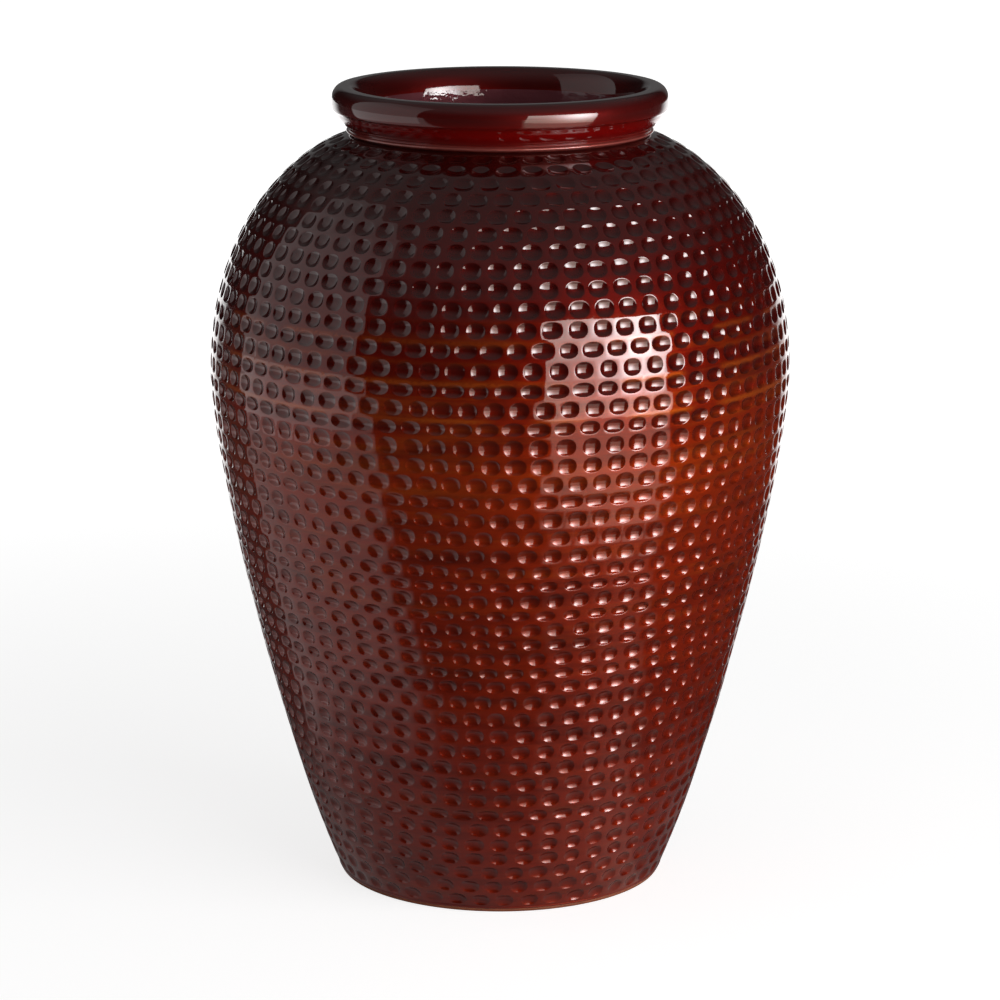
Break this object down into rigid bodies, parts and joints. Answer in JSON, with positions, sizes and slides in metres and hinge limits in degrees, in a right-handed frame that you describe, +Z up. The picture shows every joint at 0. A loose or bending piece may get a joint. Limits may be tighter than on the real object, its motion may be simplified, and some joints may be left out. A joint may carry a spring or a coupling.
{
  "type": "vase",
  "caption": "Glazed ceramic jar vase with rows of small round dimples pressed in its wall, a full belly, a short neck with a bead and a rolled rim round an open mouth.",
  "frame": {"origin": "middle of the foot, on the surface that the vase stands on", "axes": "+Z up along the vase's axis; +X to the right and -Y towards the picture's viewer"},
  "size_m": [0.3308, 0.3306, 0.457],
  "materials": {
    "bare_clay": "bare fired clay, rust tan",
    "inner_glaze": "thin dark glaze inside",
    "brown_glaze": "glossy red-brown glaze",
    "maroon_glaze": "glossy maroon glaze",
    "red_glaze": "glossy red-orange glaze",
    "dark_glaze": "glossy purple-brown glaze",
    "collar_glaze": "glossy deep red glaze",
    "rim_glaze": "glossy dark maroon glaze"
  },
  "bodies": {
    "root": {"foot_ring": "bare_clay", "floor_slab": "inner_glaze", "foot_wall": "brown_glaze", "lower_wall": "brown_glaze", "waist_wall": "maroon_glaze", "belly_wall": "red_glaze", "upper_belly_wall": "red_glaze", "shoulder_wall": "maroon_glaze", "slope_wall": "maroon_glaze", "crown_wall": "dark_glaze", "neck_collar": "collar_glaze", "rolled_rim": "rim_glaze"}
  },
  "joints": []
}
